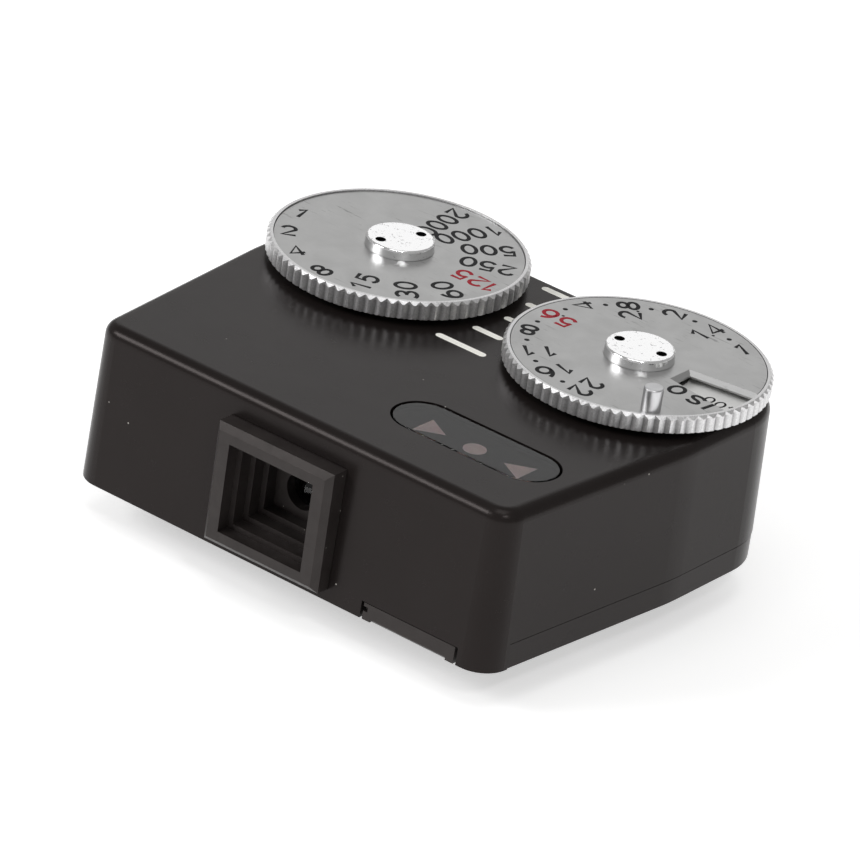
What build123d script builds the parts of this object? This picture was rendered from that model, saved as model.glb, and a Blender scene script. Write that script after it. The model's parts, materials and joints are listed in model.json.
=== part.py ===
"""Exposure meter for an accessory shoe: two setting dials, a hooded light cell and three lamps.

The origin is the centre of the foot's underside, with +Z up. The light cell looks
along -Y, the dials stand towards +Y, and sizes are in millimetres. Heights named
*_Z are measured from the underside of the body.
"""

import os
from math import cos, radians, sin, tan

from build123d import *

os.makedirs("parts", exist_ok=True)

# General clearances
FIT = 0.05  # between pieces fixed in one another
RUN = 0.05  # radial clearance of a turning fit
SLIT = 0.3  # visible gap each side of the battery door

# Body shell
BODY_W = 54.0  # across the bend in the sides
BODY_FRONT_W = 49.6
BODY_D = 44.4
BODY_H = 16.3
BEND_Y = 3.8  # where the flared sides turn parallel
DRAFT = 1.64  # degrees
FRONT_R = 3.0
BEND_R = 30.0
REAR_R = 8.0
TOP_EDGE_R = 1.3
WALL = 1.4
ROOF_T = 1.4
FLOOR_T = 1.4
SEAM_Z = 2.6  # parting line between case and bottom cover
SEAM_GAP = 0.1
COVER_INSET = 0.12
STRIP_D = 3.2  # depth of the front strip where the case runs to the bottom

# Accessory-shoe foot
FOOT_W = 18.5
FOOT_L = 18.0
FOOT_T = 1.95
NECK_W = 12.3
NECK_L = 16.0
NECK_H = 2.0
FOOT_SCREW_X = 7.6  # spacing
FOOT_SCREW_Y = 11.0
FOOT_PAD_T = 1.2

# Screws
BOSS_R = 2.0
SCREW_R = 0.75
SCREW_HEAD_R = 1.6
SCREW_HEAD_T = 0.85
CASE_SCREW_L = 6.5
CASE_SCREWS = [(-21.2, -17.3), (22.3, -4.3), (21.6, 17.0), (-21.6, 17.0)]

# Light cell
HOOD_X = -0.6
HOOD_Z = 7.35
HOOD_W = 13.7
HOOD_H = 12.3
HOOD_OUT = 2.2  # in front of the body's front face
HOOD_SEAT = 0.6  # depth of its seat in the front wall
HOOD_BEVEL = 0.6
MOUTH_W = 9.95
MOUTH_H = 9.1
STEP_IN = 0.6  # each step of the baffle draws in by this
STEP_D = 1.41
BAFFLE_WALL = 0.45
BACK_PLATE_T = 1.5
CELL_BORE_R = 1.9
LENS_R = 1.3
LENS_DOME_H = 0.8
LENS_FLANGE_T = 0.4

# Lamp window, and the mask with the lit symbols under it
LAMP_X = 13.2
LAMP_Y = -12.02
LAMP_OPENING_L = 18.5
LAMP_OPENING_W = 6.5
LAMP_GROOVE = 0.22  # between the opening and the window
LAMP_WINDOW_SINK = 0.05  # below the body's top
LAMP_WINDOW_T = 2.02
LAMP_FLANGE = 0.6
LAMP_MASK_T = 0.25
ARROW_PITCH = 6.1  # from the dot to the back edge of each arrow
ARROW_L = 2.7
ARROW_W = 3.15
DOT_R = 1.12
LAMP_T = 0.35
LAMP_BOARD_T = 0.3

# Dials, both alike
DIAL_X = 14.47
DIAL_Y = 11.1
KNOB_R = 12.87
KNURLS = 75
KNURL_DEPTH = 0.3
KNURL_CREST = 0.8  # degrees
KNOB_CHAMFER = 0.3
KNOB_GAP = 0.7  # over the body's top
FACE_UP = 2.4  # scale face over the body's top
SHUTTER_RIM_UP = 0.15  # rim over the scale face
APERTURE_RIM_UP = 0.03
KNOB_RIM_W = 0.59  # outside the scale plate
PLATE_GAP = 0.08  # radial, round each scale plate
PLATE_T = 0.6
PLATE_HUB_R = 4.9
SCALE_DEPTH = 1.25  # from scale face to the knob's floor
TENON_R = 1.6
SPINDLE_R = 2.0
SPINDLE_END_Z = 9.6
FACE_SCREW_R = 3.45
FACE_SCREW_T = 0.95
FACE_SCREW_TAPER = 7  # degrees
FACE_SCREW_SHANK_R = 1.0
FACE_SCREW_SHANK_L = 5.0
PIN_HOLE_R = 0.52
PIN_HOLE_PITCH = 4.54
PIN_HOLE_DEPTH = 0.8
BUSH_R = 3.4
BUSH_FLANGE_R = 5.0
BUSH_BELOW = 1.5  # below the roof
NUT_FLATS = 8.6
NUT_T = 1.0
RING_T = 0.3
WHEEL_R = 6.0
WHEEL_T = 1.2
WHEEL_DROP = 3.7  # from the roof to the click wheel
CLICKS = 15
NOTCH_R = 0.6
CLICK_T = 0.35
CLICK_POST_X = 7.3
CLICK_POST_Y = 8.1
WIPER_T = 0.2
TRACK_R = 3.7
TRACK_W = 1.0
TRACK_T = 0.1

# Film-speed window and peg in the aperture plate
WINDOW_IN = 5.2
WINDOW_HALF = 1.2
WINDOW_FLARE = 9.5  # degrees
WINDOW_BEVEL = 0.42
PEG_R = 0.95
PEG_UP = 2.25
PEG_IN = 1.1  # from the plate's edge
PEG_ANGLE = -48.0

# Index marks between the dials
MARK_X = -0.15
MARK_Y = 11.3
MARK_PITCH = 4.2
MARK_W = 0.85
MARK_T = 0.12
MARK_LENGTHS = [5.9, 3.5, 2.3, 3.5, 5.9]

# Circuit board
BOARD_Z = 7.0
BOARD_T = 1.0
BOARD_W = 44.0
BOARD_FRONT_Y = -2.0
BOARD_REAR_Y = 19.6
WING_X = (-19.5, -8.5)
WING_FRONT_Y = -18.0
PILLAR_R = 1.7
PILLARS = [(0.0, 9.0), (20.2, -0.2), (-13.0, -15.6)]
PAN_HEAD_R = 1.4
PAN_HEAD_T = 0.7

# Button cells, their box and door
CELL_R = 5.8
CELL_L = 5.4
CELL_X = 15.88  # middle of the pair
CELL_Y = -14.4
CELL_UP = 0.15  # over the door
BOX_WALL = 0.8
BOX_END = 0.7  # room for a contact at each end of the pair
BOX_ROOF = 0.35
CONTACT_T = 0.3
DOOR_W = 10.65
DOOR_T = 1.0
DOOR_LIP_Z = 1.7
DOOR_LIP_D = 1.2
DOOR_LIP_GAP = 0.07  # over the lip
DOOR_GRIP_W = 8.8
DOOR_GRIP = 0.4  # bevel under the fingertip
DOOR_PIN_R = 0.4
DOOR_KNUCKLE_R = 0.85
DOOR_PIN_Y = -7.6
DOOR_PIN_Z = 0.95

# Measuring button in the rear wall
BUTTON_R = 2.6
BUTTON_OUT = 1.0
BUTTON_Z = 10.0
BUTTON_FLANGE_R = 3.3
BUTTON_FLANGE_T = 0.7
BUTTON_STEM_R = 0.8
BUTTON_TRAVEL = 0.5
SWITCH_W = 5.0
SWITCH_D = 3.0
SWITCH_H = 3.2
SWITCH_TIP = 0.35
SPRING_R = 1.7
SPRING_WIRE_R = 0.12
SPRING_TURNS = 3

# Worked out from the sizes above
FOOT_H = FOOT_T + NECK_H
LEAN = tan(radians(DRAFT))
FRONT_Y = -BODY_D / 2
REAR_Y = BODY_D / 2
CAVITY_INSET = WALL + BODY_H * LEAN
INNER_FRONT_Y = FRONT_Y + CAVITY_INSET
INNER_REAR_Y = REAR_Y - CAVITY_INSET
ROOF_Z = BODY_H - ROOF_T
STRIP_Y = FRONT_Y + STRIP_D
KNOB_Z = BODY_H + KNOB_GAP
FACE_Z = BODY_H + FACE_UP
PLATE_R = KNOB_R - KNOB_RIM_W - PLATE_GAP
PEG_AT = PLATE_R - PEG_IN
KNOB_FLOOR_Z = FACE_Z - SCALE_DEPTH
TENON_TOP_Z = FACE_Z + 0.03
WHEEL_Z = ROOF_Z - WHEEL_DROP
HOOD_FRONT_Y = FRONT_Y + HOOD_Z * LEAN - HOOD_OUT
HOOD_SEAT_Y = FRONT_Y + HOOD_Z * LEAN + HOOD_SEAT
BAFFLE_FRONT_Y = HOOD_FRONT_Y + STEP_D
BAFFLE_W = MOUTH_W + 2 * (BAFFLE_WALL + FIT) + 0.9
BAFFLE_H = MOUTH_H + 2 * (BAFFLE_WALL + FIT) + 0.9
PLATE_Y = HOOD_FRONT_Y + 4 * STEP_D
BAFFLE_REAR_Y = PLATE_Y + BACK_PLATE_T
MASK_TOP_Z = BODY_H - LAMP_WINDOW_SINK - LAMP_WINDOW_T
MASK_Z = MASK_TOP_Z - LAMP_MASK_T
CELL_Z = DOOR_T + CELL_UP + CELL_R
PAIR_HALF = CELL_L
BOX_IN = (CELL_X - PAIR_HALF - BOX_END, CELL_X + PAIR_HALF + BOX_END)
BOX_REAR_Y = CELL_Y + CELL_R + 0.2
BOX_ROOF_Z = CELL_Z + CELL_R + 0.15
BOARD_TOP_Z = BOARD_Z + BOARD_T
WALL_AT_BUTTON_Y = REAR_Y - BUTTON_Z * LEAN
BUTTON_FLANGE_Y = INNER_REAR_Y - 0.2
SWITCH_FACE_Y = BUTTON_FLANGE_Y - BUTTON_FLANGE_T - 1.6
KNURL_PHASE = {"shutter": 0.45, "aperture": 1.25}
PIN_HOLE_ANGLE = {"shutter": 68.5, "aperture": 7.9}
RIM_UP = {"shutter": SHUTTER_RIM_UP, "aperture": APERTURE_RIM_UP}
DIALS = {"shutter": (-DIAL_X, DIAL_Y), "aperture": (DIAL_X, DIAL_Y)}


def level(z, at=(0, 0)):
    """Horizontal plane, z above the underside of the body."""
    return Plane(origin=(at[0], at[1], FOOT_H + z))


def upright(y):
    """Upright plane facing the front, with sketch axes X and height."""
    return Plane(origin=(0, y, FOOT_H), x_dir=(1, 0, 0), z_dir=(0, -1, 0))


def block(x, y, z, mode=Mode.ADD):
    """Box between three (low, high) pairs, in the part being built."""
    centre = ((x[0] + x[1]) / 2, (y[0] + y[1]) / 2, FOOT_H + (z[0] + z[1]) / 2)
    with Locations(centre):
        Box(x[1] - x[0], y[1] - y[0], z[1] - z[0], mode=mode)


def drum(at, radius, z, mode=Mode.ADD):
    """Upright cylinder between a (low, high) pair of heights."""
    with Locations((at[0], at[1], FOOT_H + (z[0] + z[1]) / 2)):
        Cylinder(radius, z[1] - z[0], mode=mode)


def rod(x, z, radius, y, mode=Mode.ADD):
    """Cylinder along Y between a (front, rear) pair."""
    with Locations(Location((x, (y[0] + y[1]) / 2, FOOT_H + z), (90, 0, 0))):
        Cylinder(radius, y[1] - y[0], mode=mode)


def crosspiece(y, z, radius, x, mode=Mode.ADD):
    """Cylinder along X between a (left, right) pair."""
    with Locations(Location(((x[0] + x[1]) / 2, y, FOOT_H + z), (0, 90, 0))):
        Cylinder(radius, x[1] - x[0], mode=mode)


def body_plan(inset=0.0):
    """Plan of the body at its underside, drawn in by inset on every side."""
    with BuildSketch() as plan:
        with BuildLine():
            Polyline(
                (-BODY_FRONT_W / 2, FRONT_Y),
                (BODY_FRONT_W / 2, FRONT_Y),
                (BODY_W / 2, BEND_Y),
                (BODY_W / 2, REAR_Y),
                (-BODY_W / 2, REAR_Y),
                (-BODY_W / 2, BEND_Y),
                close=True,
            )
        make_face()
        fillet(plan.vertices().group_by(Axis.Y)[0], FRONT_R)
        fillet(plan.vertices().group_by(Axis.Y)[-1], REAR_R)
        fillet(plan.vertices().filter_by_position(Axis.Y, BEND_Y - 0.01, BEND_Y + 0.01), BEND_R)
        if inset:
            offset(amount=-inset)
    return plan.sketch


def knurl_plan(radius, phase):
    """Plan of a knurled rim: small flat crests with V flutes between them."""
    step = 360 / KNURLS
    with BuildSketch() as plan:
        with BuildLine():
            points = []
            for i in range(KNURLS):
                valley = phase + i * step
                for angle, r in (
                    (valley, radius - KNURL_DEPTH),
                    (valley + (step - KNURL_CREST) / 2, radius),
                    (valley + (step + KNURL_CREST) / 2, radius),
                ):
                    points.append((r * cos(radians(angle)), r * sin(radians(angle))))
            Polyline(*points, close=True)
        make_face()
    return plan.sketch


def finish(part, label):
    """Names the piece and writes its file."""
    part.part.label = label
    export_step(part.part, f"parts/{label}.step")


def screw(at, z, head_r, head_t, shank_l, sunk):
    """Upright screw with its head down at z, in the part being built."""
    if sunk:
        with Locations(Location((at[0], at[1], FOOT_H + z + head_t / 2))):
            Cone(head_r, SCREW_R, head_t)
    else:
        drum(at, head_r, (z, z + head_t))
    drum(at, SCREW_R, (z + head_t - 0.01, z + head_t + shank_l))
    slot = head_r * 1.1
    block((at[0] - slot / 2, at[0] + slot / 2), (at[1] - 0.2, at[1] + 0.2), (z, z + 0.4), Mode.SUBTRACT)
    block((at[0] - 0.2, at[0] + 0.2), (at[1] - slot / 2, at[1] + slot / 2), (z, z + 0.4), Mode.SUBTRACT)


# --- Case -----------------------------------------------------------------

with BuildPart() as top_case:
    with BuildSketch(level(0)):
        add(body_plan())
    extrude(amount=BODY_H, taper=DRAFT)
    fillet(top_case.faces().sort_by(Axis.Z)[-1].edges(), TOP_EDGE_R)
    with BuildSketch(level(0)):
        add(body_plan(CAVITY_INSET))
    extrude(amount=ROOF_Z, mode=Mode.SUBTRACT)
    # Screw bosses down to the bottom cover
    with BuildSketch(level(FLOOR_T)):
        with Locations(*CASE_SCREWS):
            Circle(BOSS_R)
    extrude(amount=ROOF_Z - FLOOR_T)
    for at in CASE_SCREWS:
        drum(at, SCREW_R + FIT, (FLOOR_T, FLOOR_T + CASE_SCREW_L + 0.5), Mode.SUBTRACT)
    # Posts for the click springs
    for side, (x, y) in zip((1, -1), DIALS.values()):
        post = (x + side * CLICK_POST_X, y - CLICK_POST_Y)
        drum(post, 1.4, (WHEEL_Z + WHEEL_T + 0.1, ROOF_Z))
        drum(post, 0.6 + FIT, (WHEEL_Z + WHEEL_T + 0.1, ROOF_Z - 0.3), Mode.SUBTRACT)
    # The case stops at the seam, except along the front strip
    block((-BODY_W, BODY_W), (STRIP_Y, BODY_D), (-1, FLOOR_T), Mode.SUBTRACT)
    with BuildSketch(level(FLOOR_T)):
        with Locations((0, STRIP_Y + BODY_D / 2)):
            Rectangle(2 * BODY_W, BODY_D)
        add(body_plan(CAVITY_INSET), mode=Mode.SUBTRACT)
    extrude(amount=SEAM_Z - FLOOR_T, mode=Mode.SUBTRACT)
    # Front wall: seat for the hood, opening for the baffle, notch for the door
    with BuildSketch(upright(HOOD_SEAT_Y)):
        with Locations((HOOD_X, HOOD_Z)):
            Rectangle(HOOD_W + 2 * FIT, HOOD_H + 2 * FIT)
    extrude(amount=WALL * 3, mode=Mode.SUBTRACT)
    with BuildSketch(upright(INNER_FRONT_Y + 1)):
        with Locations((HOOD_X, HOOD_Z)):
            Rectangle(BAFFLE_W + 2 * FIT, BAFFLE_H + 2 * FIT)
    extrude(amount=WALL * 3, mode=Mode.SUBTRACT)
    door_half = DOOR_W / 2 + SLIT
    block(
        (CELL_X - door_half, CELL_X + door_half),
        (FRONT_Y - 1, STRIP_Y),
        (-1, DOOR_LIP_Z + DOOR_LIP_GAP),
        Mode.SUBTRACT,
    )
    # Roof: lamp opening, dial bushings, index marks
    with BuildSketch(level(ROOF_Z - 1)):
        with Locations((LAMP_X, LAMP_Y)):
            SlotOverall(LAMP_OPENING_L, LAMP_OPENING_W)
    extrude(amount=ROOF_T + 2, mode=Mode.SUBTRACT)
    for at in DIALS.values():
        drum(at, BUSH_R + FIT, (ROOF_Z - 1, BODY_H + 1), Mode.SUBTRACT)
    for i, length in enumerate(MARK_LENGTHS):
        with BuildSketch(level(BODY_H - MARK_T)):
            with Locations((MARK_X, MARK_Y + (i - 2) * MARK_PITCH)):
                SlotOverall(length, MARK_W)
        extrude(amount=1, mode=Mode.SUBTRACT)
    # Rear wall: button hole
    rod(0, BUTTON_Z, BUTTON_R + 0.1, (INNER_REAR_Y - 1, REAR_Y + 1), Mode.SUBTRACT)
finish(top_case, "top_case")

with BuildPart() as index_marks:
    for i, length in enumerate(MARK_LENGTHS):
        with BuildSketch(level(BODY_H - MARK_T)):
            with Locations((MARK_X, MARK_Y + (i - 2) * MARK_PITCH)):
                SlotOverall(length, MARK_W)
        extrude(amount=MARK_T)
finish(index_marks, "index_marks")

with BuildPart() as bottom_cover:
    with BuildSketch(level(0)):
        add(body_plan(COVER_INSET))
        with Locations((0, STRIP_Y + FIT - BODY_D / 2)):
            Rectangle(2 * BODY_W, BODY_D, mode=Mode.SUBTRACT)
    extrude(amount=SEAM_Z - SEAM_GAP)
    with BuildSketch(level(FLOOR_T)):
        add(body_plan(CAVITY_INSET))
    extrude(amount=SEAM_Z, mode=Mode.SUBTRACT)
    # Tongue inside the case's front strip
    with BuildSketch(level(0)):
        add(body_plan(CAVITY_INSET + FIT))
        with Locations((0, STRIP_Y + 1 + BODY_D / 2)):
            Rectangle(2 * BODY_W, BODY_D, mode=Mode.SUBTRACT)
    extrude(amount=FLOOR_T)
    # Pad that the foot is screwed to, and pillars under the circuit board
    block((-NECK_W / 2, NECK_W / 2), (-NECK_L / 2, NECK_L / 2), (FLOOR_T, FLOOR_T + FOOT_PAD_T))
    for at in PILLARS:
        drum(at, PILLAR_R, (FLOOR_T, BOARD_Z))
        drum(at, 0.7 + FIT, (FLOOR_T + 0.6, BOARD_Z), Mode.SUBTRACT)
    # Door opening with room for the hinge behind it
    block(
        (CELL_X - door_half, CELL_X + door_half),
        (FRONT_Y, DOOR_PIN_Y + DOOR_KNUCKLE_R + SLIT + 0.1),
        (-1, SEAM_Z),
        Mode.SUBTRACT,
    )
    # Hinge eyes each side of the opening
    for x in (CELL_X - door_half - 1.0, CELL_X + door_half):
        drop = DOOR_PIN_Z + DOOR_KNUCKLE_R
        block((x, x + 1.0), (DOOR_PIN_Y - 1.0, DOOR_PIN_Y + 1.0), (0.2, drop))
    eyes = (CELL_X - door_half - 1.5, CELL_X + door_half + 1.5)
    crosspiece(DOOR_PIN_Y, DOOR_PIN_Z, DOOR_PIN_R + FIT / 2, eyes, Mode.SUBTRACT)
    # Screw holes
    for at in CASE_SCREWS:
        drum(at, SCREW_R + FIT, (-1, SEAM_Z), Mode.SUBTRACT)
        with Locations(Location((at[0], at[1], FOOT_H + SCREW_HEAD_T / 2))):
            Cone(SCREW_HEAD_R + FIT, SCREW_R + FIT, SCREW_HEAD_T, mode=Mode.SUBTRACT)
    with BuildSketch(level(0)):
        with GridLocations(FOOT_SCREW_X, FOOT_SCREW_Y, 2, 2):
            Circle(SCREW_R + FIT)
    extrude(amount=FLOOR_T + FOOT_PAD_T, mode=Mode.SUBTRACT)
finish(bottom_cover, "bottom_cover")

with BuildPart() as case_screws:
    for at in CASE_SCREWS:
        screw(at, 0, SCREW_HEAD_R, SCREW_HEAD_T, CASE_SCREW_L, sunk=True)
finish(case_screws, "case_screws")

# --- Foot -----------------------------------------------------------------

with BuildPart() as shoe_foot:
    with BuildSketch(level(-FOOT_H)):
        RectangleRounded(FOOT_W, FOOT_L, 1.0)
    extrude(amount=FOOT_T)
    chamfer(shoe_foot.faces().sort_by(Axis.Z)[-1].edges().filter_by(Axis.X), 0.4)
    with BuildSketch(level(-NECK_H)):
        RectangleRounded(NECK_W, NECK_L, 1.0)
    extrude(amount=NECK_H)
    with Locations(level(-FOOT_H).location):
        with GridLocations(FOOT_SCREW_X, FOOT_SCREW_Y, 2, 2):
            Cylinder(SCREW_R + FIT, FOOT_H * 3, mode=Mode.SUBTRACT)
    for x in (-FOOT_SCREW_X / 2, FOOT_SCREW_X / 2):
        for y in (-FOOT_SCREW_Y / 2, FOOT_SCREW_Y / 2):
            with Locations(Location((x, y, 0.1 + SCREW_HEAD_T / 2))):
                Cone(SCREW_HEAD_R + FIT, SCREW_R + FIT, SCREW_HEAD_T, mode=Mode.SUBTRACT)
            drum((x, y), SCREW_HEAD_R + FIT, (-FOOT_H, 0.1 - FOOT_H), Mode.SUBTRACT)
finish(shoe_foot, "shoe_foot")

with BuildPart() as foot_screws:
    for x in (-FOOT_SCREW_X / 2, FOOT_SCREW_X / 2):
        for y in (-FOOT_SCREW_Y / 2, FOOT_SCREW_Y / 2):
            length = FOOT_H + FLOOR_T + FOOT_PAD_T - SCREW_HEAD_T - 0.3
            screw((x, y), 0.1 - FOOT_H, SCREW_HEAD_R, SCREW_HEAD_T, length, sunk=True)
finish(foot_screws, "foot_screws")

# --- Light cell -----------------------------------------------------------

with BuildPart() as sensor_hood:
    with BuildSketch(upright(HOOD_SEAT_Y)):
        with Locations((HOOD_X, HOOD_Z)):
            Rectangle(HOOD_W, HOOD_H)
    extrude(amount=HOOD_SEAT_Y - HOOD_FRONT_Y)
    chamfer(sensor_hood.faces().sort_by(Axis.Y)[0].edges(), HOOD_BEVEL)
    with BuildSketch(upright(HOOD_SEAT_Y)):
        with Locations((HOOD_X, HOOD_Z)):
            Rectangle(MOUTH_W, MOUTH_H)
    extrude(amount=HOOD_SEAT_Y - HOOD_FRONT_Y, mode=Mode.SUBTRACT)
    with BuildSketch(upright(HOOD_SEAT_Y)):
        with Locations((HOOD_X, HOOD_Z)):
            Rectangle(BAFFLE_W + 2 * FIT, BAFFLE_H + 2 * FIT)
    extrude(amount=HOOD_SEAT_Y - BAFFLE_FRONT_Y, mode=Mode.SUBTRACT)
finish(sensor_hood, "sensor_hood")

with BuildPart() as light_baffle:
    with BuildSketch(upright(BAFFLE_REAR_Y)):
        with Locations((HOOD_X, HOOD_Z)):
            Rectangle(BAFFLE_W, BAFFLE_H)
    extrude(amount=BAFFLE_REAR_Y - BAFFLE_FRONT_Y)
    for i in range(1, 4):
        with BuildSketch(upright(HOOD_FRONT_Y + (i + 1) * STEP_D)):
            with Locations((HOOD_X, HOOD_Z)):
                Rectangle(MOUTH_W - 2 * i * STEP_IN, MOUTH_H - 2 * i * STEP_IN)
        extrude(amount=(i + 1) * STEP_D, mode=Mode.SUBTRACT)
    rod(HOOD_X, HOOD_Z, CELL_BORE_R, (PLATE_Y - 1, BAFFLE_REAR_Y + 1), Mode.SUBTRACT)
finish(light_baffle, "light_baffle")

with BuildPart() as cell_lens:
    with BuildSketch(Plane(origin=(HOOD_X, BAFFLE_REAR_Y, FOOT_H + HOOD_Z), x_dir=(1, 0, 0), z_dir=(0, 0, 1))):
        with BuildLine():
            tip_y = -LENS_FLANGE_T - LENS_DOME_H
            Polyline((0, tip_y), (0, 0), (CELL_BORE_R - FIT, 0), (CELL_BORE_R - FIT, -LENS_FLANGE_T))
            Line((CELL_BORE_R - FIT, -LENS_FLANGE_T), (LENS_R, -LENS_FLANGE_T))
            TangentArc((0, tip_y), (LENS_R, -LENS_FLANGE_T), tangent=(1, 0))
        make_face()
    revolve(axis=Axis((HOOD_X, BAFFLE_REAR_Y, FOOT_H + HOOD_Z), (0, 1, 0)))
finish(cell_lens, "cell_lens")

with BuildPart() as cell_filter:
    block((HOOD_X - 2.4, HOOD_X + 2.4), (BAFFLE_REAR_Y, BAFFLE_REAR_Y + 0.5), (HOOD_Z - 2.4, HOOD_Z + 2.4))
finish(cell_filter, "cell_filter")

with BuildPart() as photocell:
    block(
        (HOOD_X - 2.2, HOOD_X + 2.2),
        (BAFFLE_REAR_Y + 0.5, BAFFLE_REAR_Y + 1.6),
        (HOOD_Z - 1.9, HOOD_Z + 1.9),
    )
    for side in (-1, 1):
        x = HOOD_X + side * 1.27
        block((x - 0.25, x + 0.25), (BAFFLE_REAR_Y + 1.3, BAFFLE_REAR_Y + 1.6), (HOOD_Z - 3.0, HOOD_Z - 1.9))
finish(photocell, "photocell")

with BuildPart() as sensor_board:
    block(
        (HOOD_X - 4.5, HOOD_X + 4.5),
        (BAFFLE_REAR_Y + 1.6, BAFFLE_REAR_Y + 2.4),
        (HOOD_Z - 5.0, HOOD_Z + 5.0),
    )
    for side in (-1, 1):
        rod(HOOD_X + side * 3.6, HOOD_Z + 4.0, 0.6, (BAFFLE_REAR_Y, BAFFLE_REAR_Y + 4), Mode.SUBTRACT)
finish(sensor_board, "sensor_board")

# --- Lamps ----------------------------------------------------------------

ARROW_SIDES = {"left_arrow_lens": -1, "right_arrow_lens": 1}
FLANGE_L = LAMP_OPENING_L + 2 * LAMP_FLANGE
FLANGE_W = LAMP_OPENING_W + 2 * LAMP_FLANGE


def arrow_plan(side, grow=0.0):
    """Triangle whose point looks at the dot, widened by grow."""
    with BuildSketch() as plan:
        back = LAMP_X + side * ARROW_PITCH
        with BuildLine():
            Polyline(
                (back, LAMP_Y - ARROW_W / 2),
                (back - side * ARROW_L, LAMP_Y),
                (back, LAMP_Y + ARROW_W / 2),
                close=True,
            )
        make_face()
        if grow:
            offset(amount=grow)
    return plan.sketch


with BuildPart() as lamp_window:
    with BuildSketch(level(MASK_TOP_Z)):
        with Locations((LAMP_X, LAMP_Y)):
            SlotOverall(FLANGE_L, FLANGE_W)
    extrude(amount=ROOF_Z - MASK_TOP_Z)
    with BuildSketch(level(ROOF_Z)):
        with Locations((LAMP_X, LAMP_Y)):
            SlotOverall(LAMP_OPENING_L - 2 * LAMP_GROOVE, LAMP_OPENING_W - 2 * LAMP_GROOVE)
    extrude(amount=BODY_H - LAMP_WINDOW_SINK - ROOF_Z)
    fillet(lamp_window.faces().sort_by(Axis.Z)[-1].edges(), 0.12)
finish(lamp_window, "lamp_window")

with BuildPart() as lamp_mask:
    with BuildSketch(level(MASK_Z)):
        with Locations((LAMP_X, LAMP_Y)):
            SlotOverall(FLANGE_L, FLANGE_W)
            Circle(DOT_R + FIT / 2, mode=Mode.SUBTRACT)
        for side in ARROW_SIDES.values():
            add(arrow_plan(side, FIT / 2), mode=Mode.SUBTRACT)
    extrude(amount=LAMP_MASK_T)
finish(lamp_mask, "lamp_mask")

for label, side in ARROW_SIDES.items():
    with BuildPart() as arrow_lens:
        with BuildSketch(level(MASK_Z)):
            add(arrow_plan(side))
        extrude(amount=LAMP_MASK_T)
    finish(arrow_lens, label)

with BuildPart() as dot_lens:
    drum((LAMP_X, LAMP_Y), DOT_R, (MASK_Z, MASK_TOP_Z))
finish(dot_lens, "dot_lens")

LAMP_XS = [LAMP_X - ARROW_PITCH + ARROW_L * 0.4, LAMP_X, LAMP_X + ARROW_PITCH - ARROW_L * 0.4]
with BuildPart() as lamps:
    for x in LAMP_XS:
        block((x - 0.8, x + 0.8), (LAMP_Y - 0.45, LAMP_Y + 0.45), (MASK_Z - LAMP_T, MASK_Z))
finish(lamps, "lamps")

LAMP_BOARD_Z = MASK_Z - LAMP_T - LAMP_BOARD_T
with BuildPart() as lamp_board:
    with BuildSketch(level(LAMP_BOARD_Z)):
        with Locations((LAMP_X, LAMP_Y)):
            RectangleRounded(LAMP_OPENING_L - 1, LAMP_OPENING_W - 0.4, 0.8)
    extrude(amount=LAMP_BOARD_T)
finish(lamp_board, "lamp_board")

FLEX_T = 0.15
FLEX_TURN_Y = -4.6
with BuildPart() as lamp_flex:
    start_y = LAMP_Y + LAMP_OPENING_W / 2 - 0.2
    top = LAMP_BOARD_Z + LAMP_BOARD_T / 2
    with BuildSketch(Plane(origin=(LAMP_X - 2.5, 0, FOOT_H), x_dir=(0, 1, 0), z_dir=(1, 0, 0))):
        with BuildLine() as middle:
            FilletPolyline(
                (start_y, top),
                (FLEX_TURN_Y, top),
                (FLEX_TURN_Y, BOARD_TOP_Z + FLEX_T / 2),
                (BOARD_FRONT_Y + 3, BOARD_TOP_Z + FLEX_T / 2),
                radius=1.2,
            )
        trace(middle.line, FLEX_T)
    extrude(amount=5)
finish(lamp_flex, "lamp_flex")

# --- Circuit board --------------------------------------------------------

with BuildPart() as main_board:
    with BuildSketch(level(BOARD_Z)) as outline:
        with Locations((0, (BOARD_FRONT_Y + BOARD_REAR_Y) / 2)):
            RectangleRounded(BOARD_W, BOARD_REAR_Y - BOARD_FRONT_Y, 4)
        with Locations(((WING_X[0] + WING_X[1]) / 2, (WING_FRONT_Y + BOARD_FRONT_Y + 4) / 2)):
            Rectangle(WING_X[1] - WING_X[0], BOARD_FRONT_Y + 4 - WING_FRONT_Y)
        with Locations(*CASE_SCREWS):
            Circle(BOSS_R + 0.3, mode=Mode.SUBTRACT)
        with Locations(*PILLARS):
            Circle(0.9, mode=Mode.SUBTRACT)
        with Locations((0, BOARD_REAR_Y)):
            Rectangle(2 * BUTTON_FLANGE_R + 0.8, 2 * (BOARD_REAR_Y - SWITCH_FACE_Y), mode=Mode.SUBTRACT)
    extrude(amount=BOARD_T)
finish(main_board, "main_board")

with BuildPart() as board_screws:
    for at in PILLARS:
        drum(at, PAN_HEAD_R, (BOARD_TOP_Z, BOARD_TOP_Z + PAN_HEAD_T))
        drum(at, 0.7, (BOARD_Z - 3.5, BOARD_TOP_Z + 0.01))
        top = BOARD_TOP_Z + PAN_HEAD_T
        block((at[0] - 1, at[0] + 1), (at[1] - 0.15, at[1] + 0.15), (top - 0.3, top + 1), Mode.SUBTRACT)
finish(board_screws, "board_screws")

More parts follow.
